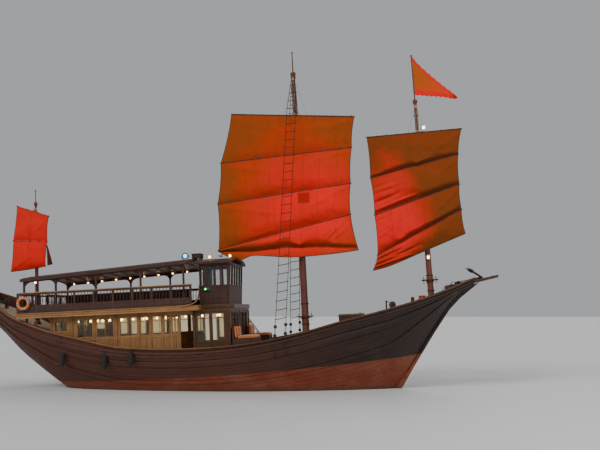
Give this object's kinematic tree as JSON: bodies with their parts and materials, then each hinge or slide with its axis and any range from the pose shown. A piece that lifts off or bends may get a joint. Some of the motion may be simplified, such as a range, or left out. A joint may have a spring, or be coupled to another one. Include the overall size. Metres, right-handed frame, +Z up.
{
  "type": "chinese junk ship",
  "caption": "Wooden passenger junk with battened lug sails on raked masts, a lit deckhouse, a canopied upper deck and a wheelhouse.",
  "frame": {"origin": "on the centreline amidships, in the plane of the water the ship floats in", "axes": "+X to the bow, +Y to port, +Z up; the ship is trimmed by the stern, so its own upright is 2.8 degrees aft of +Z"},
  "size_m": [27.8482, 7.666, 20.3544],
  "materials": {
    "hull_timber": "dark red-brown painted planks, worn and salt-stained",
    "antifouling": "matt orange-red bottom paint",
    "golden_wood": "varnished golden timber",
    "dark_wood": "dark varnished timber",
    "deck_wood": "scrubbed bare timber",
    "mast_wood": "red-brown painted timber",
    "roof_covering": "dark boarded roof, matt",
    "sail_cloth": "red-orange canvas, stitched in cloths",
    "flag_cloth": "orange bunting with a red edge",
    "rope": "laid natural fibre rope",
    "iron": "black painted iron",
    "bronze": "bronze, dulled",
    "cushion_fabric": "orange woven upholstery"
  },
  "bodies": {
    "ship": {"hull": "hull_timber", "bulwark_starboard": "hull_timber", "bulwark_port": "hull_timber", "stern_board": "dark_wood", "keel": "antifouling", "shaft_bracket_starboard": "iron", "shaft_bracket_port": "iron", "house_side_starboard": "golden_wood", "house_side_port": "golden_wood", "house_front": "golden_wood", "house_aft": "golden_wood", "cabin_bench_starboard": "golden_wood", "cabin_bench_port": "golden_wood", "cabin_table": "deck_wood", "upper_deck": "golden_wood", "upper_rail_starboard": "dark_wood", "upper_rail_port": "dark_wood", "canopy_roof": "roof_covering", "canopy_frame_starboard": "dark_wood", "canopy_frame_port": "dark_wood", "upper_bench": "dark_wood", "wheelhouse_side_starboard": "dark_wood", "wheelhouse_side_port": "dark_wood", "wheelhouse_front": "dark_wood", "wheelhouse_aft": "dark_wood", "wheelhouse_roof": "roof_covering", "wheel_stand": "golden_wood", "side_stair": "deck_wood", "main_mast": "mast_wood", "fore_mast": "mast_wood", "mizzen_mast": "mast_wood", "flag": "flag_cloth", "main_ladder_starboard": "rope", "main_ladder_port": "rope", "bow_beam": "mast_wood", "anchor": "iron", "windlass_frame": "dark_wood", "hatch_coaming": "golden_wood", "fore_bitts": "dark_wood", "aft_bitts": "dark_wood", "lounge_starboard": "dark_wood", "lounge_port": "dark_wood", "cushion_starboard": "cushion_fabric", "cushion_port": "cushion_fabric"},
    "rudder": {"rudder": "antifouling"},
    "screw_starboard": {"screw_starboard": "bronze"},
    "screw_port": {"screw_port": "bronze"},
    "main_sail": {"main_sail_spars": "mast_wood", "main_sail_cloth": "sail_cloth"},
    "fore_sail": {"fore_sail_spars": "mast_wood", "fore_sail_cloth": "sail_cloth"},
    "mizzen_sail": {"mizzen_sail_spars": "mast_wood", "mizzen_sail_cloth": "sail_cloth"},
    "ships_wheel": {"ships_wheel": "bronze"},
    "door_starboard": {"door_starboard": "dark_wood"},
    "door_port": {"door_port": "dark_wood"},
    "aft_gate": {"aft_gate": "dark_wood"},
    "windlass_barrel": {"windlass_barrel": "golden_wood"},
    "hatch_lid": {"hatch_lid": "dark_wood"}
  },
  "joints": [
    {"name": "rudder_turn", "type": "hinge", "parent": "ship", "child": "rudder", "pos_m": [-9.09912, 0, -0.44502], "axis": [-0.0489, 0, 0.9988], "range_deg": [-35, 35]},
    {"name": "screw_starboard_spin", "type": "hinge", "parent": "ship", "child": "screw_starboard", "pos_m": [-7.8941, -1.1, -1.33722], "axis": [0.9988, 0, 0.0489], "continuous": true},
    {"name": "screw_port_spin", "type": "hinge", "parent": "ship", "child": "screw_port", "pos_m": [-7.8941, 1.1, -1.33722], "axis": [0.9988, 0, 0.0489], "continuous": true},
    {"name": "main_sail_swing", "type": "hinge", "parent": "ship", "child": "main_sail", "pos_m": [3.54348, 0, 2.63566], "axis": [-0.0507, 0, 0.9987], "range_deg": [-30, 30]},
    {"name": "fore_sail_swing", "type": "hinge", "parent": "ship", "child": "fore_sail", "pos_m": [10.06268, 0, 4.53089], "axis": [-0.0673, 0, 0.9977], "range_deg": [-45, 45]},
    {"name": "mizzen_sail_swing", "type": "hinge", "parent": "ship", "child": "mizzen_sail", "pos_m": [-11.10026, 0, 3.21411], "axis": [-0.0489, 0, 0.9988], "range_deg": [-60, 60]},
    {"name": "ships_wheel_turn", "type": "hinge", "parent": "ship", "child": "ships_wheel", "pos_m": [-0.88739, 0, 5.04267], "axis": [0.9988, 0, 0.0489], "continuous": true},
    {"name": "door_starboard_slide", "type": "slide", "parent": "ship", "child": "door_starboard", "axis": [0.9988, 0, 0.0489], "range_m": [0, 0.67]},
    {"name": "door_port_slide", "type": "slide", "parent": "ship", "child": "door_port", "axis": [0.9988, 0, 0.0489], "range_m": [0, 0.67]},
    {"name": "aft_gate_swing", "type": "hinge", "parent": "ship", "child": "aft_gate", "pos_m": [-10.76038, -0.48, 3.83894], "axis": [-0.0489, 0, 0.9988], "range_deg": [-90, 0]},
    {"name": "windlass_turn", "type": "hinge", "parent": "ship", "child": "windlass_barrel", "pos_m": [8.05098, 0, 4.27089], "axis": [0, 1, 0], "continuous": true},
    {"name": "hatch_lid_lift", "type": "hinge", "parent": "ship", "child": "hatch_lid", "pos_m": [6.60311, 0, 3.78238], "axis": [0, 1, 0], "range_deg": [0, 100]}
  ]
}
